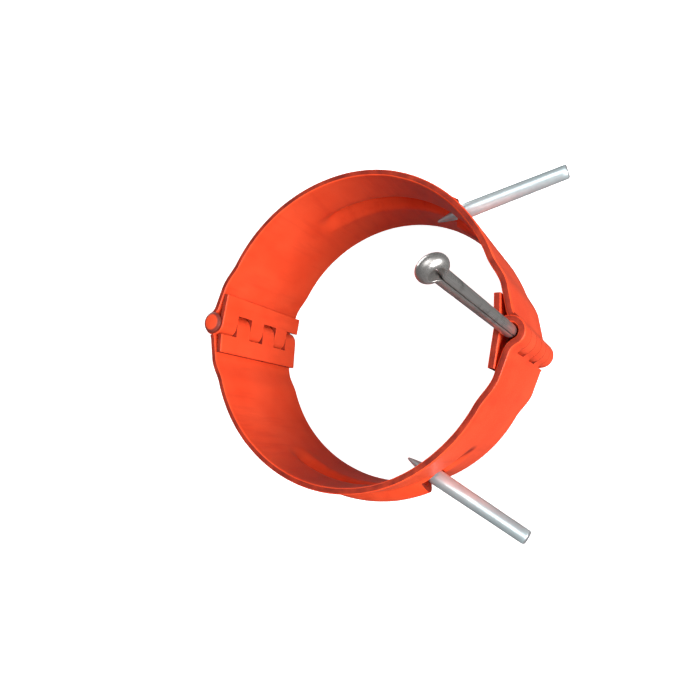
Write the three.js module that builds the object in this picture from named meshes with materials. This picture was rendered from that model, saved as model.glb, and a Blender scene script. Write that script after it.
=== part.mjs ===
// Hinged stop collar for well casing, with two nails that wedge it on the pipe.
// Millimetres. +Z is the casing axis, Z = 0 is the bottom rim, and the origin is on the casing axis.
// The hinge that stays pinned is on -X, the hinge that is locked last is on +X.

import * as THREE from 'three'

// ---- Driving dimensions -------------------------------------------------------------------------

const CASING_RADIUS = 139.7 / 2
const CASING_CLEARANCE = 1.65
const SHEET = 3
const HEIGHT = 67

const FINGERS = 6
const FINGER_GAP = 0.9
const JOGGLE_START_ANGLE = 25
const JOGGLE_END_ANGLE = 14
const JOGGLE_DEPTH = 2.5
const STRAIGHT_TILT = 15
const PIN_AXIS_RADIUS = 76.6
const LOOP_HOLE_RADIUS = 3.5
const FLARE_RADIUS = 7
const FLARE_CUT_ANGLE = 36
const FLAP_LENGTH = 15.2
const FLAP_CUT = 6.2
const FLAP_GAP = 0.3

const MOUTH_ANGLE = 58
const MOUTH_LENGTH = 8.5
const MOUTH_HALF_HEIGHT = 5.6
const CHANNEL_DEPTH = 5.9
const CHANNEL_DEPTH_AT_END = 5
const CHANNEL_HALF_WIDTH = 9
const CHANNEL_END_ANGLE = 124
const CHANNEL_FADE_ANGLE = 12
const CHANNEL_FLOOR_HALF_WIDTH = 3
const TROUGH_DEPTH = 3
const TROUGH_HALF_WIDTH = 6.5
const TROUGH_START_ANGLE = 38
const TROUGH_FULL_ANGLE = 53

const HINGE_PIN_RADIUS = 3.1
const HINGE_PIN_TAIL = 3.5
const HINGE_PIN_HEAD_RADIUS = 5.6
const HINGE_PIN_HEAD_HEIGHT = 2
const HINGE_PIN_CHAMFER = 0.8
const HINGE_PIN_HEAD_EDGE = 0.4

const LOCK_PIN_RADIUS = 2.9
const LOCK_PIN_SHANK = 64
const LOCK_PIN_SPLIT = 0.3
const LOCK_PIN_TIP_CHAMFER = 0.6
const LOCK_PIN_TIP_LENGTH = 1
const LOCK_PIN_EYE_RADIUS = 2.75
const LOCK_PIN_SHOULDER_RADIUS = 4
const LOCK_PIN_INSERTED = 2
const LOCK_PIN_LEAN = 8
const LOCK_PIN_LEAN_HEADING = 144
const LOCK_PIN_TURN = -106

const NAIL_RADIUS = 3.9
const NAIL_END_RADIUS = 3.4
const NAIL_LENGTH = 63
const NAIL_POINT_LENGTH = 16
const NAIL_POINT_FLAT = 0.5
const NAIL_END_CHAMFER = 0.5
const UPPER_NAIL_ANGLE = 58.9
const UPPER_NAIL_HEADING = 18
const UPPER_NAIL_INSIDE = 9
const LOWER_NAIL_ANGLE = -58.3
const LOWER_NAIL_HEADING = -24
const LOWER_NAIL_INSIDE = 13.5

const TOUCH_GAP = 0.3
const ARC_STEP = 6
const LOOP_STEP = 22
const FLARE_STEP = 23
const EYE_STEP = 20
const WIRE_SIDES = 8
const ROUND_SIDES = 32

// ---- Derived dimensions -------------------------------------------------------------------------

const INNER_RADIUS = CASING_RADIUS + CASING_CLEARANCE
const MID_RADIUS = INNER_RADIUS + SHEET / 2
const LOOP_RADIUS = LOOP_HOLE_RADIUS + SHEET / 2
const FINGER_HEIGHT = HEIGHT / FINGERS
const CHANNEL_LEVEL = HEIGHT / 2
const STRAIGHT_RADIUS = MID_RADIUS + JOGGLE_DEPTH

const HALF_MOUTH_ANGLE = THREE.MathUtils.radToDeg(MOUTH_LENGTH / 2 / MID_RADIUS)
const MOUTH_FROM = MOUTH_ANGLE - HALF_MOUTH_ANGLE
const MOUTH_TO = MOUTH_ANGLE + HALF_MOUTH_ANGLE

const radians = (degrees) => degrees * Math.PI / 180
const polar = (radius, degrees) => new THREE.Vector2(
  radius * Math.cos(radians(degrees)), radius * Math.sin(radians(degrees)))

// ---- Materials ----------------------------------------------------------------------------------

const paint = () => new THREE.MeshStandardMaterial({ color: 0xe8452c, roughness: 0.38, metalness: 0 })
const zinc = () => new THREE.MeshStandardMaterial({ color: 0xc4c9cc, roughness: 0.3, metalness: 1 })
const bareSteel = () => new THREE.MeshStandardMaterial({ color: 0x8d8a86, roughness: 0.42, metalness: 1 })

// ---- Mid-line of the sheet, seen along the casing axis ------------------------------------------

// Points along an arc, from one angle to another, in steps of at most maxStep degrees.
function arcPoints(centre, radius, from, to, maxStep) {
  const count = Math.ceil(Math.abs(to - from) / maxStep)
  return Array.from({ length: count + 1 }, (_, k) =>
    polar(radius, from + (to - from) * k / count).add(centre))
}

// One end of a half band, at the hinge on +X, for the half that lies on +Y. The list runs from the
// free edge of the folded-in flap, round the pin, through the flare and on to the round part.
// Columns from cutFrom to cutTo are where the other half's fingers need a window.
function hingeEnd() {
  const pin = new THREE.Vector2(PIN_AXIS_RADIUS, 0)
  const outward = polar(1, STRAIGHT_TILT)
  const along = polar(1, STRAIGHT_TILT + 90)

  // The flap's free edge lies against the inside of the outer layer.
  const flapRadius = STRAIGHT_RADIUS - SHEET - FLAP_GAP
  const flapShift = (FLAP_LENGTH - flapRadius * outward.y) / along.y
  const freeEdge = outward.clone().multiplyScalar(flapRadius).addScaledVector(along, flapShift)

  // The flap runs straight from there and touches the loop circle on its inner side.
  const toPin = pin.clone().sub(freeEdge)
  const tangentLength = Math.sqrt(toPin.lengthSq() - LOOP_RADIUS ** 2)
  const turn = Math.asin(LOOP_RADIUS / toPin.length())
  const flapDirection = toPin.clone().normalize().rotateAround(new THREE.Vector2(), -turn)
  const loopStart = freeEdge.clone().addScaledVector(flapDirection, tangentLength)
  const flapCut = loopStart.clone().addScaledVector(flapDirection, -FLAP_CUT)

  // The flare is a reverse bend that touches both the loop circle and the outer layer.
  const flareOut = STRAIGHT_RADIUS + FLARE_RADIUS
  const reach = LOOP_RADIUS + FLARE_RADIUS
  const radial = flareOut - pin.dot(outward)
  const flareAlong = pin.dot(along) + Math.sqrt(reach ** 2 - radial ** 2)
  const flareCentre = outward.clone().multiplyScalar(flareOut).addScaledVector(along, flareAlong)
  const towardsFlare = THREE.MathUtils.radToDeg(flareCentre.clone().sub(pin).angle())
  const startAngle = THREE.MathUtils.radToDeg(loopStart.clone().sub(pin).angle())

  const loop = arcPoints(pin, LOOP_RADIUS, startAngle, towardsFlare + 360, LOOP_STEP)
  const flareFrom = towardsFlare + 180
  const flareCut = flareFrom - FLARE_CUT_ANGLE
  const flareIn = arcPoints(flareCentre, FLARE_RADIUS, flareFrom, flareCut, FLARE_STEP).slice(1)
  const flareTo = arcPoints(flareCentre, FLARE_RADIUS, flareCut, STRAIGHT_TILT + 180, FLARE_STEP).slice(1)

  const points = [freeEdge, flapCut, ...loop, ...flareIn, ...flareTo]
  return { points, cutFrom: 1, cutTo: 1 + loop.length + flareIn.length }
}

// Radius of the mid-line in the round part. Near each hinge the sheet steps outwards, which makes
// room for the flap inside it.
function roundRadius(angle) {
  const fromHinge = Math.min(angle, 180 - angle)
  const share = 1 - THREE.MathUtils.smoothstep(fromHinge, JOGGLE_END_ANGLE, JOGGLE_START_ANGLE)
  return MID_RADIUS + JOGGLE_DEPTH * share
}

// Angles of the columns in the round part. The mouth's two edges are always among them.
function roundAngles() {
  const stops = [
    JOGGLE_END_ANGLE, JOGGLE_START_ANGLE, TROUGH_START_ANGLE, TROUGH_FULL_ANGLE,
    MOUTH_FROM, MOUTH_TO,
    CHANNEL_END_ANGLE - CHANNEL_FADE_ANGLE, CHANNEL_END_ANGLE,
    180 - JOGGLE_START_ANGLE, 180 - JOGGLE_END_ANGLE]
  const angles = [stops[0]]
  for (let k = 1; k < stops.length; k++) {
    const count = Math.ceil((stops[k] - stops[k - 1]) / ARC_STEP)
    for (let n = 1; n <= count; n++) angles.push(stops[k - 1] + (stops[k] - stops[k - 1]) * n / count)
  }
  return { angles, mouthFrom: angles.indexOf(MOUTH_FROM), mouthTo: angles.indexOf(MOUTH_TO) }
}

// The whole mid-line, from the flap on +X to the flap on -X.
function midLine() {
  const end = hingeEnd()
  const round = roundAngles()
  const far = end.points.map((point) => new THREE.Vector2(-point.x, point.y)).reverse()
  const near = end.points.map((point) => ({ point, angle: null }))
  const middle = round.angles.map((angle) => ({ point: polar(roundRadius(angle), angle), angle }))
  const columns = [...near, ...middle, ...far.map((point) => ({ point, angle: null }))]
  const last = columns.length - 1
  return {
    columns,
    windows: [[end.cutFrom, end.cutTo], [last - end.cutTo, last - end.cutFrom]],
    mouth: [near.length + round.mouthFrom, near.length + round.mouthTo],
  }
}

// ---- Levels and relief of the sheet -------------------------------------------------------------

// Heights of the rows: both sides of each gap between fingers, and the lines that shape the channel.
function rowLevels() {
  const gaps = []
  for (let k = 1; k < FINGERS; k++) {
    gaps.push(k * FINGER_HEIGHT - FINGER_GAP / 2, k * FINGER_HEIGHT + FINGER_GAP / 2)
  }
  const channel = [CHANNEL_FLOOR_HALF_WIDTH, MOUTH_HALF_HEIGHT, CHANNEL_HALF_WIDTH].flatMap((half) =>
    [CHANNEL_LEVEL - half, CHANNEL_LEVEL + half])
  return [0, ...gaps, ...channel, HEIGHT].sort((a, b) => a - b)
}

// The cross-section of a pressing: 1 on the nail's line, falling smoothly to 0 at halfWidth from it.
function bulge(level, halfWidth) {
  const across = Math.min(Math.abs(level - CHANNEL_LEVEL) / halfWidth, 1)
  return 0.5 + 0.5 * Math.cos(Math.PI * across)
}

// How far the sheet is pressed outwards, at an angle round the half and a height: inwards in the
// trough in front of the mouth, outwards in the channel behind it.
function relief(angle, level) {
  const trough = -TROUGH_DEPTH * bulge(level, TROUGH_HALF_WIDTH)
  if (angle <= MOUTH_FROM) {
    return trough * THREE.MathUtils.smoothstep(angle, TROUGH_START_ANGLE, TROUGH_FULL_ANGLE)
  }
  const fadeStart = CHANNEL_END_ANGLE - CHANNEL_FADE_ANGLE
  const depth = THREE.MathUtils.mapLinear(
    Math.max(angle, MOUTH_TO), MOUTH_TO, fadeStart, CHANNEL_DEPTH, CHANNEL_DEPTH_AT_END)
  const fade = 1 - THREE.MathUtils.smoothstep(angle, fadeStart, CHANNEL_END_ANGLE)
  const channel = depth * fade * bulge(level, CHANNEL_HALF_WIDTH)
  return THREE.MathUtils.lerp(trough, channel, THREE.MathUtils.smoothstep(angle, MOUTH_FROM, MOUTH_TO))
}

// Which cells of the sheet are left after blanking: each band keeps every other finger at a hinge,
// and the other band's fingers turn in its windows.
function isSteel(line, levels, column, row) {
  const low = levels[row]
  const high = levels[row + 1]
  const middle = (low + high) / 2
  const inWindow = line.windows.some(([from, to]) => column >= from && column < to)
  if (inWindow) {
    const finger = Math.floor((HEIGHT - middle) / FINGER_HEIGHT)
    const top = HEIGHT - finger * FINGER_HEIGHT
    const clearTop = finger === 0 || top - middle > FINGER_GAP / 2
    const clearBottom = finger === FINGERS - 1 || middle - (top - FINGER_HEIGHT) > FINGER_GAP / 2
    const isLeft = column > line.columns.length / 2
    const owned = isLeft ? finger % 2 === 0 : finger % 2 === 1
    return owned && clearTop && clearBottom
  }
  const [from, to] = line.mouth
  const inMouth = column >= from && column < to
  return !(inMouth && Math.abs(middle - CHANNEL_LEVEL) < MOUTH_HALF_HEIGHT)
}

// ---- Sheet solid --------------------------------------------------------------------------------

// A closed solid of even thickness on both sides of a grid of points, with cells left out.
function sheetSolid(points, steel, thickness) {
  const columns = points.length
  const rows = points[0].length
  const at = (i, j) => points[THREE.MathUtils.clamp(i, 0, columns - 1)][THREE.MathUtils.clamp(j, 0, rows - 1)]
  const positions = []
  for (let i = 0; i < columns; i++) {
    for (let j = 0; j < rows; j++) {
      const tangent = at(i + 1, j).clone().sub(at(i, j)).normalize()
      tangent.add(at(i, j).clone().sub(at(i - 1, j)).normalize())
      const rise = at(i, j + 1).clone().sub(at(i, j - 1))
      const normal = tangent.cross(rise).normalize()
      positions.push(at(i, j).clone().addScaledVector(normal, thickness / 2))
      positions.push(at(i, j).clone().addScaledVector(normal, -thickness / 2))
    }
  }
  const outer = (i, j) => 2 * (i * rows + j)
  const inner = (i, j) => outer(i, j) + 1
  const index = []
  const quad = (a, b, c, d) => index.push(a, b, c, a, c, d)
  const has = (i, j) => i >= 0 && j >= 0 && i < columns - 1 && j < rows - 1 && steel(i, j)
  for (let i = 0; i < columns - 1; i++) {
    for (let j = 0; j < rows - 1; j++) {
      if (!has(i, j)) continue
      quad(outer(i, j), outer(i + 1, j), outer(i + 1, j + 1), outer(i, j + 1))
      quad(inner(i, j), inner(i, j + 1), inner(i + 1, j + 1), inner(i + 1, j))
      if (!has(i, j - 1)) quad(outer(i, j), inner(i, j), inner(i + 1, j), outer(i + 1, j))
      if (!has(i, j + 1)) quad(outer(i, j + 1), outer(i + 1, j + 1), inner(i + 1, j + 1), inner(i, j + 1))
      if (!has(i - 1, j)) quad(outer(i, j), outer(i, j + 1), inner(i, j + 1), inner(i, j))
      if (!has(i + 1, j)) quad(outer(i + 1, j), inner(i + 1, j), inner(i + 1, j + 1), outer(i + 1, j + 1))
    }
  }
  return compactGeometry(positions, index)
}

// A geometry that holds only the points its triangles use.
function compactGeometry(positions, index) {
  const used = [...new Set(index)]
  const renumber = new Map(used.map((old, fresh) => [old, fresh]))
  const geometry = new THREE.BufferGeometry()
  const coordinates = used.flatMap((old) => positions[old].toArray())
  geometry.setAttribute('position', new THREE.Float32BufferAttribute(coordinates, 3))
  geometry.setIndex(index.map((old) => renumber.get(old)))
  geometry.computeVertexNormals()
  return geometry
}

// ---- Half bands ---------------------------------------------------------------------------------

function bandGeometry() {
  const line = midLine()
  const levels = rowLevels()
  const points = line.columns.map(({ point, angle }) => levels.map((level) => {
    const shifted = angle === null ? point : polar(roundRadius(angle) + relief(angle, level), angle)
    return new THREE.Vector3(shifted.x, shifted.y, level)
  }))
  return sheetSolid(points, (i, j) => isSteel(line, levels, i, j), SHEET)
}

function upperBand() {
  const mesh = new THREE.Mesh(bandGeometry(), paint())
  mesh.name = 'upper_band'
  return mesh
}

// The lower band is the same pressing, turned over about the X axis.
function lowerBand() {
  const mesh = new THREE.Mesh(bandGeometry(), paint())
  mesh.name = 'lower_band'
  mesh.rotation.x = Math.PI
  mesh.position.z = HEIGHT
  return mesh
}

// ---- Pins ---------------------------------------------------------------------------------------

// A solid of revolution whose axis is +Z, from (radius, height) pairs that start and end on the axis.
function turned(profile) {
  const geometry = new THREE.LatheGeometry(profile.map(([r, z]) => new THREE.Vector2(r, z)), ROUND_SIDES)
  return geometry.rotateX(Math.PI / 2)
}

function hingePin() {
  const headBase = HEIGHT + TOUCH_GAP
  const headTop = headBase + HINGE_PIN_HEAD_HEIGHT
  const profile = [
    [0, -HINGE_PIN_TAIL],
    [HINGE_PIN_RADIUS - HINGE_PIN_CHAMFER, -HINGE_PIN_TAIL],
    [HINGE_PIN_RADIUS, -HINGE_PIN_TAIL + HINGE_PIN_CHAMFER],
    [HINGE_PIN_RADIUS, headBase],
    [HINGE_PIN_HEAD_RADIUS, headBase],
    [HINGE_PIN_HEAD_RADIUS - HINGE_PIN_HEAD_EDGE, headBase + HINGE_PIN_HEAD_HEIGHT / 2],
    [HINGE_PIN_RADIUS, headTop - HINGE_PIN_HEAD_EDGE],
    [0, headTop]]
  const mesh = new THREE.Mesh(turned(profile), paint())
  mesh.name = 'hinge_pin'
  mesh.position.x = -PIN_AXIS_RADIUS
  return mesh
}

// The line that the flat side of the half-round wire follows: up one leg, round the eye, down the
// other. It lies in the XZ plane, with Z = 0 at the tips.
function splitPinLine() {
  const half = LOCK_PIN_SPLIT / 2
  const shoulder = new THREE.Vector2(half + LOCK_PIN_SHOULDER_RADIUS, LOCK_PIN_SHANK)
  const reach = LOCK_PIN_SHOULDER_RADIUS + LOCK_PIN_EYE_RADIUS
  const eye = new THREE.Vector2(0, LOCK_PIN_SHANK + Math.sqrt(reach ** 2 - shoulder.x ** 2))
  const meet = THREE.MathUtils.radToDeg(eye.clone().sub(shoulder).angle())
  const leg = [new THREE.Vector2(half, 0), new THREE.Vector2(half, LOCK_PIN_TIP_LENGTH)]
  const bend = arcPoints(shoulder, LOCK_PIN_SHOULDER_RADIUS, 180, meet, EYE_STEP)
  const quarter = arcPoints(eye, LOCK_PIN_EYE_RADIUS, meet - 180, 90, EYE_STEP).slice(1)
  const side = [...leg, ...bend, ...quarter]
  const other = side.slice(0, -1).reverse().map((point) => new THREE.Vector2(-point.x, point.y))
  return [...side, ...other]
}

// Half-round wire swept along a line in the XZ plane, its flat side on the line, its round side to
// the right of the way of travel.
function halfRoundWire(line, radius) {
  const last = line.length - 1
  const positions = line.flatMap((point, k) => {
    const before = line[Math.max(k - 1, 0)]
    const after = line[Math.min(k + 1, last)]
    const along = after.clone().sub(before).normalize()
    const out = new THREE.Vector3(along.y, 0, -along.x)
    const size = k === 0 || k === last ? radius - LOCK_PIN_TIP_CHAMFER : radius
    return Array.from({ length: WIRE_SIDES + 1 }, (_, n) => {
      const swing = Math.PI * (n / WIRE_SIDES - 0.5)
      const corner = new THREE.Vector3(point.x, 0, point.y)
      corner.addScaledVector(out, size * Math.cos(swing))
      corner.y += size * Math.sin(swing)
      return corner
    })
  })
  const ring = WIRE_SIDES + 1
  const index = []
  for (let k = 0; k < last; k++) {
    for (let n = 0; n < ring; n++) {
      const a = k * ring + n
      const b = k * ring + (n + 1) % ring
      index.push(a, b, b + ring, a, b + ring, a + ring)
    }
  }
  for (let n = 1; n < ring - 1; n++) {
    index.push(0, n + 1, n)
    index.push(last * ring, last * ring + n, last * ring + n + 1)
  }
  return compactGeometry(positions, index)
}

// The lock pin stands with its tips a little way into the top knuckle and leans towards the bore,
// about the middle of the length that is inside.
function lockPin() {
  const wire = LOCK_PIN_RADIUS - LOCK_PIN_SPLIT / 2
  const mesh = new THREE.Mesh(halfRoundWire(splitPinLine(), wire), bareSteel())
  mesh.name = 'lock_pin'
  mesh.position.z = -LOCK_PIN_INSERTED / 2
  mesh.rotation.z = radians(LOCK_PIN_TURN)
  const leaning = new THREE.Group()
  leaning.rotation.y = radians(LOCK_PIN_LEAN)
  leaning.add(mesh)
  const heading = new THREE.Group()
  heading.rotation.z = radians(LOCK_PIN_LEAN_HEADING)
  heading.position.set(PIN_AXIS_RADIUS, 0, HEIGHT - LOCK_PIN_INSERTED / 2)
  heading.add(leaning)
  return heading
}

// ---- Nails --------------------------------------------------------------------------------------

// A nail lies level at the channel's height and crosses the sheet's mid-line at the given angle. Its
// heading is the way it leaves the collar, and inside is the length from its tip to that crossing.
// It is thickest where the ground point begins and thins a little towards the sheared end.
function nail(name, angle, heading, inside) {
  const profile = [
    [0, 0],
    [NAIL_POINT_FLAT, 0],
    [NAIL_RADIUS, NAIL_POINT_LENGTH],
    [NAIL_END_RADIUS, NAIL_LENGTH - NAIL_END_CHAMFER],
    [NAIL_END_RADIUS - NAIL_END_CHAMFER, NAIL_LENGTH],
    [0, NAIL_LENGTH]]
  const mesh = new THREE.Mesh(turned(profile), zinc())
  mesh.name = name
  const away = polar(1, heading)
  const tip = polar(MID_RADIUS, angle).addScaledVector(away, -inside)
  mesh.position.set(tip.x, tip.y, CHANNEL_LEVEL)
  mesh.rotation.order = 'ZYX'
  mesh.rotation.set(0, Math.PI / 2, radians(heading))
  return mesh
}

// ---- Assembly -----------------------------------------------------------------------------------

const collar = new THREE.Group()
collar.add(upperBand(), lowerBand(), hingePin(), lockPin())
collar.add(nail('upper_nail', UPPER_NAIL_ANGLE, UPPER_NAIL_HEADING, UPPER_NAIL_INSIDE))
collar.add(nail('lower_nail', LOWER_NAIL_ANGLE, LOWER_NAIL_HEADING, LOWER_NAIL_INSIDE))

export default collar
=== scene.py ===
import math

import bpy
import numpy as np
from mathutils import Matrix, Vector, noise


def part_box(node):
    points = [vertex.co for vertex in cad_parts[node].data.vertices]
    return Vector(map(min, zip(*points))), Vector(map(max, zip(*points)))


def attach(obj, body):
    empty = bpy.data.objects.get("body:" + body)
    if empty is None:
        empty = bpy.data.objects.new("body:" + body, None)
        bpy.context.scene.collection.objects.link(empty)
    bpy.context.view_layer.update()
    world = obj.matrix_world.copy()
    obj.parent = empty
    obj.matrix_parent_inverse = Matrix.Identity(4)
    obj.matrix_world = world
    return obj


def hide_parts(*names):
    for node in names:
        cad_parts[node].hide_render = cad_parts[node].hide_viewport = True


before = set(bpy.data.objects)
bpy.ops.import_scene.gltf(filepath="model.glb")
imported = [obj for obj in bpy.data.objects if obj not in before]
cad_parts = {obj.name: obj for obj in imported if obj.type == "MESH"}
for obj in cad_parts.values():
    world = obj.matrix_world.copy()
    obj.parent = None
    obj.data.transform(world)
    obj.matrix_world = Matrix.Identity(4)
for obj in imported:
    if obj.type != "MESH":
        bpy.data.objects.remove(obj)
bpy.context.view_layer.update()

# Hinged stop collar. The bands, pins and nails are rebuilt finely where the frame has them.
# Shapes are worked out in millimetres, as in the CAD part, and made in metres.
MM = 0.001

# ---- Sheet bands --------------------------------------------------------------------------------
# The CAD part's driving dimensions. Here the sheet is slightly thinner, the knuckles slightly smaller,
# the gaps between fingers narrower, their windows shorter and the channel a little shallower.

SHEET = 2.94
RIM_RADIUS = 0.75
RIM_STEPS = (0.0, 0.05, 0.15, 0.3, 0.5, 0.75)
HEIGHT = 67.0
MID_RADIUS = 73.0
FINGERS = 6
FINGER_GAP = 0.36
FINGER_HEIGHT = HEIGHT / FINGERS
JOGGLE_START_ANGLE = 25.0
JOGGLE_END_ANGLE = 14.0
JOGGLE_DEPTH = 2.5
STRAIGHT_RADIUS = MID_RADIUS + JOGGLE_DEPTH
STRAIGHT_TILT = 15.0
PIN_AXIS_RADIUS = 76.6
LOOP_RADIUS = 4.9
FLARE_RADIUS = 7.0
CLEAR_CUT_ANGLE = 25.0
TIGHT_CUT_ANGLE = 27.0
FLAP_LENGTH = 15.2
FLAP_CUT = 6.2
FLAP_GAP = 0.3
FLAP_SHEET = 3.0

MOUTH_ANGLE = 58.0
MOUTH_LENGTH = 8.5
HALF_MOUTH_ANGLE = math.degrees(MOUTH_LENGTH / 2 / MID_RADIUS)
MOUTH_FROM = MOUTH_ANGLE - HALF_MOUTH_ANGLE
MOUTH_TO = MOUTH_ANGLE + HALF_MOUTH_ANGLE
MOUTH_HALF_HEIGHT = 5.6
CHANNEL_LEVEL = HEIGHT / 2
CHANNEL_DEPTH = 5.7
CHANNEL_DEPTH_AT_END = 4.9
CHANNEL_HALF_WIDTH = 9.0
CHANNEL_END_ANGLE = 124.0
CHANNEL_FADE_ANGLE = 12.0
TROUGH_DEPTH = 3.0
TROUGH_HALF_WIDTH = 6.5
TROUGH_START_ANGLE = 38.0
TROUGH_FULL_ANGLE = 53.0

COLUMN_STEP = 1.0
ROW_STEP = 1.0
BEND_STEP = 7.0
ROUNDING_SLACK = 1e-9

# Unevenness of the rolled sheet: heights in millimetres, scales in waves per millimetre.
WAVE_HEIGHT = 0.16
WAVE_SCALE = 0.028
RIPPLE_HEIGHT = 0.05
RIPPLES_PER_WAVE = 4
SEED_SHIFT = (7.3, 3.1)
FULLNESS = 0.55
FULLEST_ANGLE = 76
FULLNESS_SPREAD = 24


def polar(radius, degrees):
    return np.array([radius * math.cos(math.radians(degrees)), radius * math.sin(math.radians(degrees))])


def angle_of(vector):
    return math.degrees(math.atan2(vector[1], vector[0])) % 360


def smoothstep(x, low, high):
    t = min(max((x - low) / (high - low), 0.0), 1.0)
    return t * t * (3 - 2 * t)


def arc(centre, radius, start, end):
    """Points along an arc, both ends included."""
    count = max(1, math.ceil(abs(end - start) / BEND_STEP))
    return [centre + polar(radius, start + (end - start) * k / count) for k in range(count + 1)]


def straight(a, b, step=COLUMN_STEP):
    """Points from a to b, without a itself."""
    count = max(1, math.ceil(np.linalg.norm(b - a) / step))
    return [a + (b - a) * k / count for k in range(1, count + 1)]


def hinge_end(cut_angle):
    """Mid-line from the flap's free edge, round the pin and through the flare to the outer layer."""
    pin = np.array([PIN_AXIS_RADIUS, 0.0])
    outward, along = polar(1, STRAIGHT_TILT), polar(1, STRAIGHT_TILT + 90)
    flap_radius = STRAIGHT_RADIUS - FLAP_SHEET - FLAP_GAP
    flap_shift = (FLAP_LENGTH - flap_radius * outward[1]) / along[1]
    free_edge = outward * flap_radius + along * flap_shift
    to_pin = pin - free_edge
    distance = np.linalg.norm(to_pin)
    heading = angle_of(to_pin) - math.degrees(math.asin(LOOP_RADIUS / distance))
    direction = polar(1, heading)
    loop_start = free_edge + direction * math.sqrt(distance ** 2 - LOOP_RADIUS ** 2)
    flap_cut = loop_start - direction * FLAP_CUT
    flare_out = STRAIGHT_RADIUS + FLARE_RADIUS
    radial = flare_out - pin @ outward
    reach = LOOP_RADIUS + FLARE_RADIUS
    centre = outward * flare_out + along * (pin @ along + math.sqrt(reach ** 2 - radial ** 2))
    to_flare = angle_of(centre - pin)
    flare_cut = to_flare + 180 - cut_angle
    points = [free_edge] + straight(free_edge, flap_cut)
    cut_from = len(points) - 1
    points += straight(flap_cut, loop_start)
    points += arc(pin, LOOP_RADIUS, angle_of(loop_start - pin), to_flare + 360)[1:]
    points += arc(centre, FLARE_RADIUS, to_flare + 180, flare_cut)[1:]
    cut_to = len(points) - 1
    points += arc(centre, FLARE_RADIUS, flare_cut, STRAIGHT_TILT + 180)[1:]
    points += straight(points[-1], polar(STRAIGHT_RADIUS, JOGGLE_END_ANGLE))[:-1]
    return points, cut_from, cut_to


def round_radius(angle):
    """Radius of the mid-line, which steps outwards near each hinge to make room for the flap."""
    near = min(angle, 180 - angle)
    return MID_RADIUS + JOGGLE_DEPTH * (1 - smoothstep(near, JOGGLE_END_ANGLE, JOGGLE_START_ANGLE))


def bulge(level, half_width):
    """A pressing's cross-section: 1 on the nail's line, falling smoothly to 0 at half_width."""
    across = min(abs(level - CHANNEL_LEVEL) / half_width, 1.0)
    return 0.5 + 0.5 * math.cos(math.pi * across)


def relief(angle, level):
    """How far the sheet is pressed outwards: a trough before the mouth, the nail's channel after it."""
    trough = -TROUGH_DEPTH * bulge(level, TROUGH_HALF_WIDTH)
    if angle <= MOUTH_FROM:
        return trough * smoothstep(angle, TROUGH_START_ANGLE, TROUGH_FULL_ANGLE)
    fade = CHANNEL_END_ANGLE - CHANNEL_FADE_ANGLE
    along = max(angle - MOUTH_TO, 0) / (fade - MOUTH_TO)
    depth = CHANNEL_DEPTH + (CHANNEL_DEPTH_AT_END - CHANNEL_DEPTH) * along
    channel = depth * bulge(level, CHANNEL_HALF_WIDTH) * (1 - smoothstep(angle, fade, CHANNEL_END_ANGLE))
    return trough + (channel - trough) * smoothstep(angle, MOUTH_FROM, MOUTH_TO)


def spread(stops, step):
    """Values from the first stop to the last, no further apart than step, with every stop kept."""
    values = [stops[0]]
    for low, high in zip(stops, stops[1:]):
        count = max(1, math.ceil((high - low) / step - ROUNDING_SLACK))
        values += [low + (high - low) * k / count for k in range(1, count + 1)]
    return values


def row_levels():
    """Heights of the rows, which are close together at the rims and include every gap's two sides."""
    gaps = [k * FINGER_HEIGHT + side * FINGER_GAP / 2 for k in range(1, FINGERS) for side in (-1, 1)]
    halves = (MOUTH_HALF_HEIGHT, CHANNEL_HALF_WIDTH)
    mouth = [CHANNEL_LEVEL + side * half for half in halves for side in (-1, 1)]
    rims = [level for depth in RIM_STEPS for level in (depth, HEIGHT - depth)]
    return spread(sorted(rims + gaps + mouth), ROW_STEP)


def half_thickness(level):
    """Half the sheet's thickness, which falls away at the two rims where shearing rounds them."""
    short = max(RIM_RADIUS - min(level, HEIGHT - level), 0)
    return SHEET / 2 - RIM_RADIUS + math.sqrt(RIM_RADIUS ** 2 - short ** 2)


def band_columns():
    """(x, y, angle or None) along the whole mid-line, with the windows' and the mouth's columns."""
    near, near_from, near_to = hinge_end(TIGHT_CUT_ANGLE)
    far, far_from, far_to = hinge_end(CLEAR_CUT_ANGLE)
    step = math.degrees(COLUMN_STEP / MID_RADIUS)
    angles = spread([JOGGLE_END_ANGLE, MOUTH_FROM, MOUTH_TO, 180 - JOGGLE_END_ANGLE], step)
    columns = [(p[0], p[1], None) for p in near]
    mouth = tuple(len(columns) + min(range(len(angles)), key=lambda k: abs(angles[k] - a))
                  for a in (MOUTH_FROM, MOUTH_TO))
    columns += [(*polar(round_radius(a), a), a) for a in angles]
    columns += [(-p[0], p[1], None) for p in reversed(far)]
    last = len(columns) - 1
    return columns, [(near_from, near_to), (last - far_to, last - far_from)], mouth


def is_steel(windows, mouth, column, middle):
    """Whether blanking leaves the cell at a column and a height: fingers in the windows, no mouth."""
    for side, (start, end) in enumerate(windows):
        if start <= column < end:
            finger = min(int((HEIGHT - middle) / FINGER_HEIGHT), FINGERS - 1)
            top = HEIGHT - finger * FINGER_HEIGHT
            clear_top = finger == 0 or top - middle > FINGER_GAP / 2
            clear_bottom = finger == FINGERS - 1 or middle - (top - FINGER_HEIGHT) > FINGER_GAP / 2
            return finger % 2 == 1 - side and clear_top and clear_bottom
    return not (mouth[0] <= column < mouth[1] and abs(middle - CHANNEL_LEVEL) < MOUTH_HALF_HEIGHT)


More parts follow.
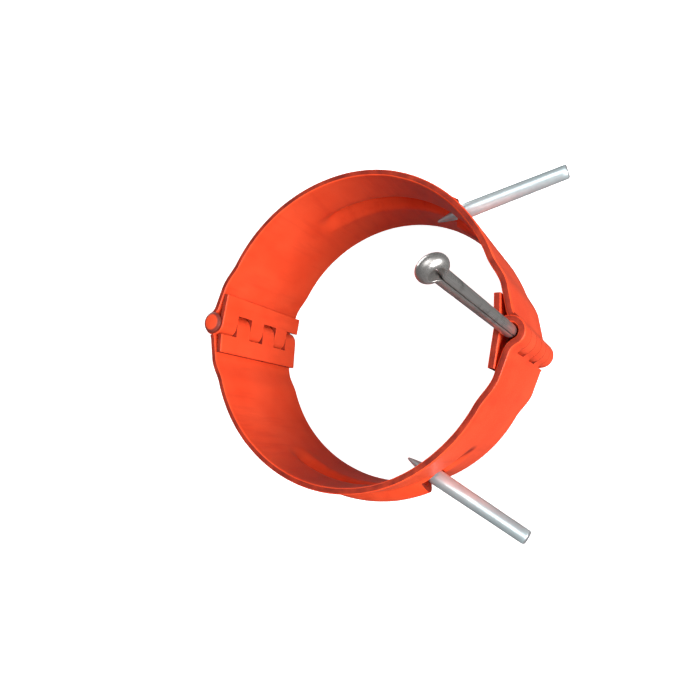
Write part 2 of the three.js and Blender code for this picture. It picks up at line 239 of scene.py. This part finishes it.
def handmade(x, y, z, seed):
    """Slight unevenness of rolled and pressed sheet, in millimetres along the sheet's normal."""
    shift = Vector((seed * SEED_SHIFT[0], seed * SEED_SHIFT[1], 0))
    place = Vector((x, y, z)) * WAVE_SCALE + shift
    return WAVE_HEIGHT * noise.noise(place) + RIPPLE_HEIGHT * noise.noise(place * RIPPLES_PER_WAVE)


def out_of_round(angle):
    """Each half is rolled a little fuller just short of its middle."""
    return FULLNESS * math.exp(-((angle - FULLEST_ANGLE) / FULLNESS_SPREAD) ** 2)


def band_points(seed):
    """The grid of mid-surface points of a half band, with its normals, levels and openings."""
    columns, windows, mouth = band_columns()
    levels = row_levels()
    points = np.zeros((len(columns), len(levels), 3))
    for i, (x, y, angle) in enumerate(columns):
        for j, level in enumerate(levels):
            if angle is not None:
                x, y = polar(round_radius(angle) + relief(angle, level), angle)
            points[i, j] = (x, y, level)
    tangent = np.gradient(points, axis=0)
    rise = np.gradient(points, axis=1)
    normal = np.cross(tangent, rise)
    normal /= np.linalg.norm(normal, axis=2, keepdims=True)
    for i, (_, _, angle) in enumerate(columns):
        if angle is None:
            continue
        share = smoothstep(min(angle, 180 - angle), JOGGLE_END_ANGLE, JOGGLE_START_ANGLE)
        for j in range(len(levels)):
            points[i, j] += normal[i, j] * (share * handmade(*points[i, j], seed) + out_of_round(angle))
    return points, normal, levels, windows, mouth


def band_mesh(name, seed, turned_over):
    """A half band as one closed mesh. Rims and cut edges have the second material, whose dark paint also
    stands for shade on the rims.
    """
    points, normal, levels, windows, mouth = band_points(seed)
    columns, rows = points.shape[:2]
    reach = normal * np.array([half_thickness(level) for level in levels])[None, :, None]
    outer, inner = points + reach, points - reach
    vertices = np.stack([outer, inner], axis=2).reshape(-1, 3)
    # One spare row and column stay empty, and an index of -1 falls on them too.
    steel = np.zeros((columns + 1, rows + 1), bool)
    for i in range(columns - 1):
        for j in range(rows - 1):
            steel[i, j] = is_steel(windows, mouth, i, (levels[j] + levels[j + 1]) / 2)
    faces, cuts = [], []

    def out(i, j):
        return 2 * (i * rows + j)

    for i in range(columns - 1):
        for j in range(rows - 1):
            if not steel[i, j]:
                continue
            a, b, c, d = out(i, j), out(i + 1, j), out(i + 1, j + 1), out(i, j + 1)
            # The rows at the rims take the dark cut-edge paint: painted shade along the rounded rims, over
            # thin paint on their sheared edges.
            at_rim = j == 0 or j == rows - 2
            (cuts if at_rim else faces).extend([(a, b, c, d), (a + 1, d + 1, c + 1, b + 1)])
            if not steel[i, j - 1]:
                cuts.append((a, a + 1, b + 1, b))
            if not steel[i, j + 1]:
                cuts.append((d, c, c + 1, d + 1))
            if not steel[i - 1, j]:
                cuts.append((a, d, d + 1, a + 1))
            if not steel[i + 1, j]:
                cuts.append((b, b + 1, c + 1, c))
    if turned_over:
        vertices = vertices * (1, -1, -1) + (0, 0, HEIGHT)
    return mesh_object(name, vertices * MM, faces + cuts, [0] * len(faces) + [1] * len(cuts))


# ---- Mesh helpers -------------------------------------------------------------------------------

SOFT_SEGMENTS = 2
BAR_WAVE_SCALE = 0.35


def mesh_object(name, vertices, faces, materials=None):
    """An object with smooth faces that holds only the vertices that its faces use."""
    used = sorted({v for face in faces for v in face})
    renumber = {old: new for new, old in enumerate(used)}
    mesh = bpy.data.meshes.new(name)
    mesh.from_pydata([tuple(vertices[v]) for v in used], [],
                     [tuple(renumber[v] for v in face) for face in faces])
    mesh.polygons.foreach_set("use_smooth", [True] * len(mesh.polygons))
    if materials:
        mesh.polygons.foreach_set("material_index", materials)
    mesh.validate()
    mesh.update()
    obj = bpy.data.objects.new(name, mesh)
    bpy.context.scene.collection.objects.link(obj)
    return obj


def soften(obj, width, angle):
    """Rounds the edges sharper than angle, as paint, shearing or tumbling leaves them."""
    bevel = obj.modifiers.new("soft_edges", "BEVEL")
    bevel.width = width * MM
    bevel.segments = SOFT_SEGMENTS
    bevel.limit_method = "ANGLE"
    bevel.angle_limit = math.radians(angle)
    bevel.harden_normals = True
    return obj


def turned(name, profile, sides, uneven):
    """A solid of revolution about local Z from (radius, height) pairs between its two end centres."""
    rings = profile[1:-1]
    vertices = [(0, 0, profile[0][1])]
    for radius, height in rings:
        for k in range(sides):
            swing = 2 * math.pi * k / sides
            x, y = radius * math.cos(swing), radius * math.sin(swing)
            shift = 1 + uneven * noise.noise(Vector((x, y, height)) * BAR_WAVE_SCALE) / max(radius, 1)
            vertices.append((x * shift, y * shift, height))
    vertices.append((0, 0, profile[-1][1]))
    top = len(vertices) - 1
    faces = []
    for k in range(sides):
        n = (k + 1) % sides
        faces.append((0, 1 + n, 1 + k))
        for r in range(len(rings) - 1):
            low, high = 1 + r * sides, 1 + (r + 1) * sides
            faces.append((low + k, low + n, high + n, high + k))
        faces.append((top, top - sides + k, top - sides + n))
    return mesh_object(name, np.array(vertices) * MM, faces)


def along_profile(points, step):
    """The profile with its long stretches divided, so that unevenness has points to act on."""
    result = [points[0]]
    for (r0, z0), (r1, z1) in zip(points, points[1:]):
        count = max(1, math.ceil(math.hypot(r1 - r0, z1 - z0) / step))
        result += [(r0 + (r1 - r0) * k / count, z0 + (z1 - z0) * k / count) for k in range(1, count + 1)]
    return result


# ---- Pins and nails -----------------------------------------------------------------------------

HINGE_PIN_RADIUS = 3.1
HINGE_PIN_TAIL = 3.5
HINGE_PIN_HEAD_RADIUS = 5.5
HINGE_PIN_HEAD_HEIGHT = 1.95
HINGE_PIN_HEAD_EDGE = 0.2
HINGE_PIN_HEAD_LIP = 0.3
HINGE_PIN_CHAMFER = 0.8
HINGE_PIN_SIDES = 48
HINGE_PIN_STEP = 2.0
DOME_STEPS = 12
DOME_FULLNESS = 0.6
TOUCH_GAP = 0.3


def hinge_pin():
    """The painted pin of the hinge that stays closed, with a chamfered tail and a low domed head."""
    base = HEIGHT + TOUCH_GAP
    body = [(HINGE_PIN_RADIUS - HINGE_PIN_CHAMFER, -HINGE_PIN_TAIL),
            (HINGE_PIN_RADIUS, -HINGE_PIN_TAIL + HINGE_PIN_CHAMFER),
            (HINGE_PIN_RADIUS, base),
            (HINGE_PIN_HEAD_RADIUS - HINGE_PIN_HEAD_EDGE, base),
            (HINGE_PIN_HEAD_RADIUS, base + HINGE_PIN_HEAD_LIP)]
    dome = []
    for k in range(1, DOME_STEPS):
        swing = math.radians(90 * k / DOME_STEPS)
        rise = (HINGE_PIN_HEAD_HEIGHT - HINGE_PIN_HEAD_LIP) * math.sin(swing)
        dome.append((HINGE_PIN_HEAD_RADIUS * math.cos(swing) ** DOME_FULLNESS,
                     base + HINGE_PIN_HEAD_LIP + rise))
    top = base + HINGE_PIN_HEAD_HEIGHT
    profile = [(0, -HINGE_PIN_TAIL), *along_profile(body, HINGE_PIN_STEP), *dome, (0, top)]
    obj = turned("painted_hinge_pin", profile, HINGE_PIN_SIDES, uneven=0.12)
    obj.location = (-PIN_AXIS_RADIUS * MM, 0, 0)
    return soften(obj, width=0.2, angle=35)


NAIL_RADIUS = 3.82
NAIL_END_RADIUS = 3.28
NAIL_LENGTH = 62.8
NAIL_POINT_LENGTH = 16.0
NAIL_POINT_STEPS = 12
NAIL_BELLY = 0.16
NAIL_SIDES = 72
NAIL_STEP = 2.5

# The blunted tip as (radius, height) pairs, between the height of its centre and the ground cone.
NAIL_TIP_HEIGHT = 0.05
NAIL_TIP = ((0.35, 0.15), (0.62, 0.5))
NAIL_CONE_RADIUS = 0.5

# The sheared end: how far each corner is in from the surface and back from the end, then the slightly
# dished face.
NAIL_END_CORNERS = ((0.0, 0.9), (0.25, 0.35), (0.7, 0.05))
NAIL_FACE_EDGE = (1.5, 0.1)
NAIL_FACE_MIDDLE = (1.2, 0.22)
NAIL_DISH = 0.25


def nail(name, angle, heading, inside):
    """A nail turned about its own Z axis, with a slightly bellied ground point and a sheared end."""
    point = list(NAIL_TIP)
    for k in range(1, NAIL_POINT_STEPS):
        share = k / NAIL_POINT_STEPS
        belly = NAIL_BELLY * math.sin(math.pi * share)
        radius = NAIL_CONE_RADIUS + (NAIL_RADIUS - NAIL_CONE_RADIUS) * share + belly * (1 - share)
        point.append((radius, NAIL_POINT_LENGTH * share))
    body = [(NAIL_RADIUS, NAIL_POINT_LENGTH)]
    body += [(NAIL_END_RADIUS - inwards, NAIL_LENGTH - short) for inwards, short in NAIL_END_CORNERS]
    face = [(NAIL_END_RADIUS - NAIL_FACE_EDGE[0], NAIL_LENGTH - NAIL_FACE_EDGE[1]),
            (NAIL_FACE_MIDDLE[0], NAIL_LENGTH - NAIL_FACE_MIDDLE[1])]
    profile = [(0, NAIL_TIP_HEIGHT), *point, *along_profile(body, NAIL_STEP), *face,
               (0, NAIL_LENGTH - NAIL_DISH)]
    obj = turned(name, profile, NAIL_SIDES, uneven=0.05)
    away = polar(1, heading)
    tip = polar(MID_RADIUS, angle) - away * inside
    turn = Matrix.Rotation(math.radians(heading), 4, "Z") @ Matrix.Rotation(math.pi / 2, 4, "Y")
    obj.matrix_world = Matrix.Translation(Vector((tip[0], tip[1], CHANNEL_LEVEL)) * MM) @ turn
    return soften(obj, width=0.12, angle=40)


LOCK_PIN_RADIUS = 2.9
LOCK_PIN_SHANK = 63.9
LOCK_PIN_SPLIT = 0.3
LOCK_PIN_EYE_RADIUS = 2.75
LOCK_PIN_SHOULDER_RADIUS = 4.0
LOCK_PIN_INSERTED = 2.0
LOCK_PIN_LEAN = 8.0
LOCK_PIN_LEAN_HEADING = 144.0
LOCK_PIN_TURN = -106.0
LOCK_PIN_TIP_CHAMFER = 0.35
LOCK_PIN_WIRE_SIDES = 18
LOCK_PIN_STEP = 2.0


def split_pin_line():
    """The line of the half-round wire's flat side: up one leg, round the eye, down the other."""
    half = LOCK_PIN_SPLIT / 2
    shoulder = np.array([half + LOCK_PIN_SHOULDER_RADIUS, LOCK_PIN_SHANK])
    reach = LOCK_PIN_SHOULDER_RADIUS + LOCK_PIN_EYE_RADIUS
    eye = np.array([0, LOCK_PIN_SHANK + math.sqrt(reach ** 2 - shoulder[0] ** 2)])
    meet = angle_of(eye - shoulder)
    tip, top = np.array([half, 0.0]), np.array([half, LOCK_PIN_SHANK])
    side = [tip] + straight(tip, top, LOCK_PIN_STEP)
    side += arc(shoulder, LOCK_PIN_SHOULDER_RADIUS, 180, meet)[1:]
    side += arc(eye, LOCK_PIN_EYE_RADIUS, meet - 180, 90)[1:]
    return side + [np.array([-p[0], p[1]]) for p in reversed(side[:-1])]


def lock_pin():
    """The split pin: half-round wire swept along its line, then leaned in the top knuckle."""
    line = split_pin_line()
    last = len(line) - 1
    radius = LOCK_PIN_RADIUS - LOCK_PIN_SPLIT / 2
    vertices = []
    for k, point in enumerate(line):
        along = line[min(k + 1, last)] - line[max(k - 1, 0)]
        along = along / np.linalg.norm(along)
        size = radius - (LOCK_PIN_TIP_CHAMFER if k in (0, last) else 0)
        for n in range(LOCK_PIN_WIRE_SIDES + 1):
            swing = math.pi * (n / LOCK_PIN_WIRE_SIDES - 0.5)
            reach = size * math.cos(swing)
            vertices.append((point[0] + along[1] * reach, size * math.sin(swing),
                             point[1] - along[0] * reach))
    ring = LOCK_PIN_WIRE_SIDES + 1
    faces = [(k * ring + n, k * ring + (n + 1) % ring, (k + 1) * ring + (n + 1) % ring, (k + 1) * ring + n)
             for k in range(last) for n in range(ring)]
    faces.append(tuple(reversed(range(ring))))
    faces.append(tuple(last * ring + n for n in range(ring)))
    obj = mesh_object("split_lock_pin", np.array(vertices) * MM, faces)
    pivot = Vector((PIN_AXIS_RADIUS, 0, HEIGHT - LOCK_PIN_INSERTED / 2)) * MM
    obj.matrix_world = (
        Matrix.Translation(pivot)
        @ Matrix.Rotation(math.radians(LOCK_PIN_LEAN_HEADING), 4, "Z")
        @ Matrix.Rotation(math.radians(LOCK_PIN_LEAN), 4, "Y")
        @ Matrix.Translation((0, 0, -LOCK_PIN_INSERTED / 2 * MM))
        @ Matrix.Rotation(math.radians(LOCK_PIN_TURN), 4, "Z"))
    return soften(obj, width=0.22, angle=40)


# ---- Materials ----------------------------------------------------------------------------------

PAINT_DEEP = (0.78, 0.062, 0.018, 1)
PAINT_BRIGHT = (0.86, 0.088, 0.030, 1)
PAINT_STREAK = (0.60, 0.030, 0.009, 1)
PAINT_PIT = (0.32, 0.018, 0.010, 1)
PAINT_THIN_AND_SHADE = (0.11, 0.014, 0.012, 1)
PAINT_CREASE_SHADE = (0.22, 0.014, 0.008, 1)
PAINT_HEAD_EDGE = (0.09, 0.03, 0.028, 1)
ZINC_BRIGHT = (0.64, 0.75, 0.77, 1)
ZINC_DULL = (0.50, 0.60, 0.63, 1)
ZINC_DRAWN = (0.42, 0.43, 0.45, 1)
ZINC_GROUND = (0.50, 0.50, 0.50, 1)
ZINC_CUT = (0.30, 0.30, 0.31, 1)
WIRE_BRIGHT = (0.76, 0.74, 0.72, 1)
WIRE_DULL = (0.50, 0.48, 0.46, 1)
WIRE_OXIDE = (0.22, 0.21, 0.20, 1)

# Painted shade in the crease where the trough begins: it darkens and fades between these angles round a
# half, and between these distances from the nail's line.
CREASE_SHADE_DARKENS = (38.5, 41)
CREASE_SHADE_FADES = (42, 52)
CREASE_SHADE_REACH = (5.2, 1.6)
CREASE_SHADE_STRENGTH = 0.85
HEAD_DARKER_BEYOND = 4.0


class Nodes:
    """A short way to build a material's node tree."""

    def __init__(self, name):
        self.material = bpy.data.materials.new(name)
        self.material.use_nodes = True
        self.tree = self.material.node_tree
        self.shader = self.tree.nodes["Principled BSDF"]

    def add(self, kind, inputs=None, **settings):
        node = self.tree.nodes.new(kind)
        for key, value in settings.items():
            setattr(node, key, value)
        for key, value in (inputs or {}).items():
            self.put(node, key, value)
        return node

    def put(self, node, key, value):
        if isinstance(value, bpy.types.NodeSocket):
            self.tree.links.new(value, node.inputs[key])
        else:
            node.inputs[key].default_value = value

    def set(self, **values):
        for key, value in values.items():
            self.put(self.shader, key.replace("_", " "), value)

    def position(self, scale=(1, 1, 1)):
        """Object coordinates in millimetres, stretched by scale."""
        coordinates = self.add("ShaderNodeTexCoord").outputs["Object"]
        return self.add("ShaderNodeMapping", {
            "Vector": coordinates, "Scale": [s / MM for s in scale]}).outputs["Vector"]

    def noise(self, vector, scale, detail, roughness):
        """Noise with a grain of about 1 / scale millimetres."""
        return self.add("ShaderNodeTexNoise", {
            "Vector": vector, "Scale": scale, "Detail": detail, "Roughness": roughness,
        }).outputs["Fac"]

    def remap(self, value, low, high, to_low=0.0, to_high=1.0):
        return self.add("ShaderNodeMapRange", {
            "Value": value, "From Min": low, "From Max": high, "To Min": to_low, "To Max": to_high
        }).outputs["Result"]

    def mix(self, share, a, b):
        node = self.add("ShaderNodeMix", data_type="RGBA")
        for index, value in ((0, share), (6, a), (7, b)):
            self.put(node, index, value)
        return node.outputs[2]

    def math(self, operation, a, b):
        return self.add("ShaderNodeMath", {0: a, 1: b}, operation=operation).outputs["Value"]

    def bump(self, height, strength, distance, before=None):
        node = self.add("ShaderNodeBump", {
            "Height": height, "Strength": strength, "Distance": distance * MM})
        if before is not None:
            self.put(node, "Normal", before)
        return node.outputs["Normal"]


def paint(name, cut_edge=False, shade_in_crease=False, darker_beyond=None):
    """Gloss paint on rolled sheet: thin and dark on sheared edges, with painted shade along the rims, and
    painted shade where the trough begins.

    On a pin's head it turns darker beyond a distance from the pin's axis.
    """
    n = Nodes(name)
    place = n.position()
    clouds = n.noise(place, 0.035, 2.0, 0.6)
    streaks = n.noise(n.position((0.35, 0.35, 0.05)), 0.5, 3.0, 0.6)
    grain = n.noise(place, 2.2, 4.0, 0.6)
    base = n.mix(n.remap(clouds, 0.3, 0.7), PAINT_DEEP, PAINT_BRIGHT)
    base = n.mix(n.remap(streaks, 0.52, 0.75, 0.0, 0.35), base, PAINT_STREAK)
    pits = n.remap(grain, 0.66, 0.78)
    base = n.mix(n.math("MULTIPLY", pits, 0.35), base, PAINT_PIT)
    rough = n.remap(grain, 0.2, 0.8, 0.30, 0.46)
    # Thin dark paint on sheared edges, which is also painted shade along the rounded rims, whose rows take
    # this paint.
    if cut_edge:
        thin_and_shade = n.noise(place, 0.12, 3.0, 0.55)
        base = n.mix(n.remap(thin_and_shade, 0.35, 0.65, 0.6, 0.88), base, PAINT_THIN_AND_SHADE)
        rough = n.remap(grain, 0.2, 0.8, 0.5, 0.7)
    parts = n.add("ShaderNodeSeparateXYZ", {"Vector": place}).outputs
    # Painted shade: the paint darkens in the trough's crease, where shade falls.
    if shade_in_crease:
        swing = n.math("ARCTAN2", n.math("ABSOLUTE", parts["Y"], 0.0), parts["X"])
        along = n.math("MULTIPLY", n.remap(swing, *map(math.radians, CREASE_SHADE_DARKENS)),
                       n.remap(swing, *map(math.radians, CREASE_SHADE_FADES), 1.0, 0.0))
        off_line = n.math("ABSOLUTE", n.math("SUBTRACT", parts["Z"], CHANNEL_LEVEL), 0.0)
        crease_shade = n.math("MULTIPLY", along, n.remap(off_line, *CREASE_SHADE_REACH))
        base = n.mix(n.math("MULTIPLY", crease_shade, CREASE_SHADE_STRENGTH), base, PAINT_CREASE_SHADE)
    # The paint turns darker towards the edge of the pin's head.
    if darker_beyond:
        squares = n.math("ADD", n.math("POWER", parts["X"], 2.0), n.math("POWER", parts["Y"], 2.0))
        darker_edge = n.remap(n.math("SQRT", squares, 0.0), darker_beyond - 0.4, darker_beyond + 0.5, 0.0, 0.85)
        base = n.mix(darker_edge, base, PAINT_HEAD_EDGE)
    peel = n.bump(n.noise(place, 0.55, 2.0, 0.5), 0.10, 0.35)
    rolled = n.bump(streaks, 0.12, 0.35, peel)
    normal = n.bump(grain, 0.10, 0.12, rolled)
    n.set(Base_Color=base, Roughness=rough, Normal=normal,
          Specular_IOR_Level=0.08 if cut_edge else 0.14)
    n.set(Coat_Weight=0.0 if cut_edge else 0.05, Coat_Roughness=0.2)
    return n.material


def zinc(name):
    """Bright plated bar: drawing streaks along Z, fine crystals, ground rings on the point."""
    n = Nodes(name)
    place = n.position()
    drawn = n.noise(n.position((1, 1, 0.03)), 1.6, 4.0, 0.6)
    cloud = n.noise(place, 0.12, 3.0, 0.6)
    height = n.add("ShaderNodeSeparateXYZ", {"Vector": place}).outputs["Z"]
    on_point = n.remap(height, NAIL_POINT_LENGTH - 0.6, NAIL_POINT_LENGTH + 0.6, 1.0, 0.0)
    on_end = n.remap(height, NAIL_LENGTH - 0.8, NAIL_LENGTH - 0.4)
    base = n.mix(n.remap(cloud, 0.3, 0.7), ZINC_BRIGHT, ZINC_DULL)
    base = n.mix(n.remap(drawn, 0.6, 0.8, 0.0, 0.5), base, ZINC_DRAWN)
    base = n.mix(n.math("MULTIPLY", on_point, 0.15), base, ZINC_GROUND)
    base = n.mix(n.math("MULTIPLY", on_end, 0.85), base, ZINC_CUT)
    rough = n.remap(cloud, 0.3, 0.7, 0.28, 0.40)
    rings = n.noise(n.position((0.05, 0.05, 1)), 2.5, 3.0, 0.6)
    streaked = n.bump(drawn, 0.25, 0.12)
    ringed = n.bump(n.math("MULTIPLY", rings, on_point), 0.5, 0.25, streaked)
    n.set(Base_Color=base, Metallic=0.55, Roughness=rough, Normal=ringed)
    return n.material


def wire(name):
    """Drawn half-round wire: dull grey with draw marks along Z and dark oxide in patches."""
    n = Nodes(name)
    place = n.position()
    drawn = n.noise(n.position((1, 1, 0.025)), 2.4, 4.0, 0.65)
    patch = n.noise(place, 0.16, 4.0, 0.6)
    base = n.mix(n.remap(drawn, 0.3, 0.7), WIRE_BRIGHT, WIRE_DULL)
    base = n.mix(n.remap(patch, 0.5, 0.72, 0.0, 0.6), base, WIRE_OXIDE)
    rough = n.remap(drawn, 0.2, 0.8, 0.22, 0.42)
    n.set(Base_Color=base, Metallic=0.9, Roughness=rough, Normal=n.bump(drawn, 0.35, 0.15))
    return n.material


def finish_with(obj, *materials):
    for material in materials:
        obj.data.materials.append(material)


# ---- The object ---------------------------------------------------------------------------------

# Each nail's name, the angle where it crosses the sheet, the way it leaves, and its length inside.
NAILS = (("upper_nail", 58.9, 18.0, 9.0), ("lower_nail", -58.3, -24.0, 13.5))

# The sheet's paint carries painted shade in the trough's crease.
sheet_paint = paint("sprayed_sheet", shade_in_crease=True)
# Dark paint for sheared edges, which is also painted shade along the rims.
edge_paint = paint("sprayed_cut_edge", cut_edge=True)
PIECES = []
for name, body, node, seed in (("upper_sheet", "upper_half", "upper_band", 1),
                               ("lower_sheet", "lower_half", "lower_band", 2)):
    band = band_mesh(name, seed, turned_over=node == "lower_band")
    finish_with(band, sheet_paint, edge_paint)
    soften(band, width=0.25, angle=50)
    PIECES.append((band, body, node, "painted_sheet"))

pin = hinge_pin()
finish_with(pin, paint("sprayed_pin", darker_beyond=HEAD_DARKER_BEYOND))
PIECES.append((pin, "upper_half", "hinge_pin", "painted_pin"))

key = lock_pin()
finish_with(key, wire("drawn_wire"))
PIECES.append((key, "lock_pin", "lock_pin", "bare_steel"))

bright = zinc("plated_bar")
for name, angle, heading, inside in NAILS:
    bar = nail(name.replace("_", "_wedge_"), angle, heading, inside)
    finish_with(bar, bright)
    PIECES.append((bar, name, name, "zinc_nail"))

for piece, body, node, slot in PIECES:
    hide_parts(node)
    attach(piece, body)

# ---- Floor, light and camera --------------------------------------------------------------------

FLOOR_GAP = 0.0002
FLOOR_REACH = 3.0
WALL_RADIUS = 2.9
WALL_HEIGHT = 4.0
WALL_SIDES = 48
WORLD_LIGHT = 0.12
CAMERA_PLACE = (0.12825, -0.03926, 0.28133)
CAMERA_TURN = (10.197, 28.555, 7.462)

floor_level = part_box("hinge_pin")[0].z - FLOOR_GAP
floor_mesh = bpy.data.meshes.new("studio_floor")
floor_corners = [(x * FLOOR_REACH, y * FLOOR_REACH, floor_level)
                 for x, y in ((-1, -1), (1, -1), (1, 1), (-1, 1))]
floor_mesh.from_pydata(floor_corners, [], [(0, 1, 2, 3)])
floor = bpy.data.objects.new("studio_floor", floor_mesh)
bpy.context.scene.collection.objects.link(floor)
floor.visible_diffuse = False
floor.visible_glossy = False
matte = Nodes("matte_white")
matte.set(Base_Color=(0.8, 0.8, 0.8, 1), Roughness=0.9, Specular_IOR_Level=0.1)
matte.set(Emission_Color=(1, 1, 1, 1), Emission_Strength=0.85)
finish_with(floor, matte.material)

# A round pale wall behind the floor, so that low views don't end in a horizon. It lights nothing.
ring = [polar(WALL_RADIUS, 360 * k / WALL_SIDES) for k in range(WALL_SIDES)]
wall_mesh = bpy.data.meshes.new("studio_wall")
wall_mesh.from_pydata([(x, y, z) for z in (floor_level, WALL_HEIGHT) for x, y in ring], [],
                      [(k, k + WALL_SIDES, (k + 1) % WALL_SIDES + WALL_SIDES, (k + 1) % WALL_SIDES)
                       for k in range(WALL_SIDES)])
wall = bpy.data.objects.new("studio_wall", wall_mesh)
bpy.context.scene.collection.objects.link(wall)
wall.visible_diffuse = False
wall.visible_glossy = False
wall.visible_shadow = False
finish_with(wall, matte.material)


def softbox(name, place, target, size, power):
    """A rectangular area light at a place in metres, turned to its target."""
    light = bpy.data.lights.new(name, "AREA")
    light.shape = "RECTANGLE"
    light.size, light.size_y = size
    light.energy = power
    obj = bpy.data.objects.new(name, light)
    bpy.context.scene.collection.objects.link(obj)
    obj.location = place
    obj.rotation_euler = (Vector(target) - Vector(place)).to_track_quat("-Z", "Y").to_euler()


softbox("key", place=(1.06, -0.25, 0.63), target=(0, 0, 0.03), size=(0.8, 0.8), power=27)
softbox("top", place=(0.1, 0.2, 1.4), target=(0, 0, 0), size=(1.0, 1.0), power=10)
softbox("back", place=(-1.0, 0.85, 0.10), target=(0, 0, 0.03), size=(1.0, 0.16), power=7)

world = bpy.data.worlds.new("studio")
bpy.context.scene.world = world
world.use_nodes = True
world.node_tree.nodes["Background"].inputs["Color"].default_value = (1, 1, 1, 1)
world.node_tree.nodes["Background"].inputs["Strength"].default_value = WORLD_LIGHT

bpy.context.scene.view_settings.view_transform = "Standard"
bpy.context.scene.view_settings.look = "None"

camera_data = bpy.data.cameras.new("photo_view")
camera_data.sensor_width = 36
camera_data.lens = 28.42
camera_data.clip_start = 0.01
camera_data.clip_end = 20
camera = bpy.data.objects.new("photo_view", camera_data)
bpy.context.scene.collection.objects.link(camera)
camera.location = CAMERA_PLACE
camera.rotation_euler = [math.radians(turn) for turn in CAMERA_TURN]
bpy.context.scene.camera = camera

bpy.context.view_layer.update()
